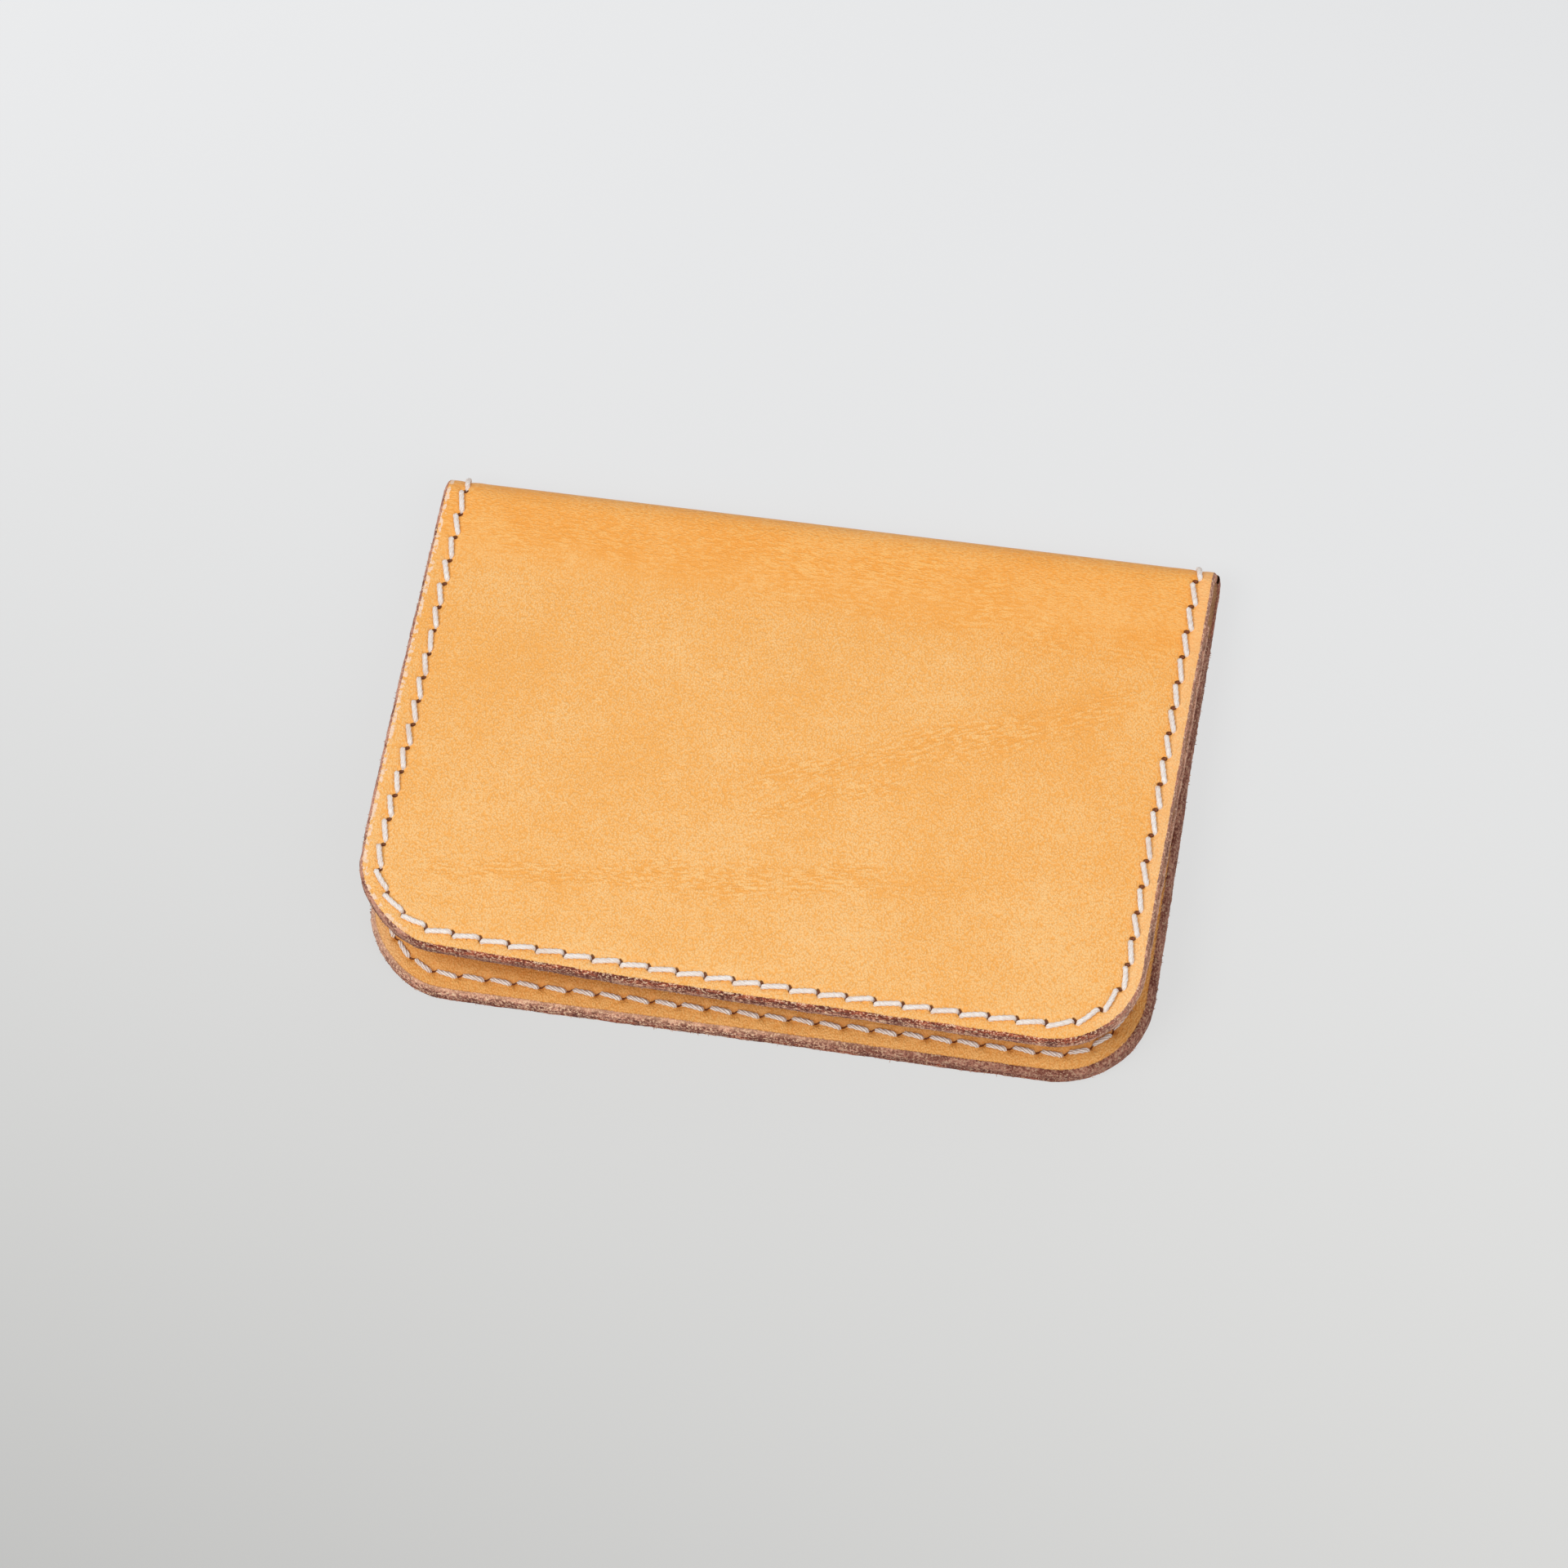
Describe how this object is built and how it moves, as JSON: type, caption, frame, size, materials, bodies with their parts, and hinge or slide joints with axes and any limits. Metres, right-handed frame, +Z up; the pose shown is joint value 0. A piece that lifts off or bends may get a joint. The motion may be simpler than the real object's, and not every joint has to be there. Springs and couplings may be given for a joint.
{
  "type": "card holder",
  "caption": "Folded leather holder for bank and visiting cards, with a saddle-stitched pocket on the inside of each half that opens toward the spine.",
  "frame": {"origin": "centre of the footprint, on the surface that the back half lies on", "axes": "+X along the fold, +Y toward the fold and away from the free edges, +Z up from the back half to the front half"},
  "size_m": [0.105, 0.072, 0.0132],
  "materials": {
    "cover_leather": "satin vegetable-tanned grain",
    "pocket_leather": "satin vegetable-tanned grain",
    "thread": "matt waxed thread"
  },
  "bodies": {
    "back_leaf": {"cover_back_half": "cover_leather", "pocket_back": "pocket_leather", "stitching_back_a": "thread", "stitching_back_b": "thread"},
    "spine": {"cover_spine": "cover_leather", "stitching_spine_left_a": "thread", "stitching_spine_left_b": "thread", "stitching_spine_right_a": "thread", "stitching_spine_right_b": "thread"},
    "front_leaf": {"cover_front_half": "cover_leather", "pocket_front": "pocket_leather", "stitching_front_a": "thread", "stitching_front_b": "thread"}
  },
  "joints": [
    {"name": "fold_lower", "type": "hinge", "parent": "back_leaf", "child": "spine", "pos_m": [0, 0.0347, 0.0012], "axis": [-1, 0, 0], "range_deg": [-2.7, 82.3]},
    {"name": "fold_upper", "type": "hinge", "parent": "spine", "child": "front_leaf", "pos_m": [0, 0.0349, 0.0054], "axis": [-1, 0, 0], "range_deg": [-2.7, 82.3]}
  ],
  "couplings": [
    {"joint": "fold_upper", "follows": "fold_lower", "ratio": 1}
  ]
}
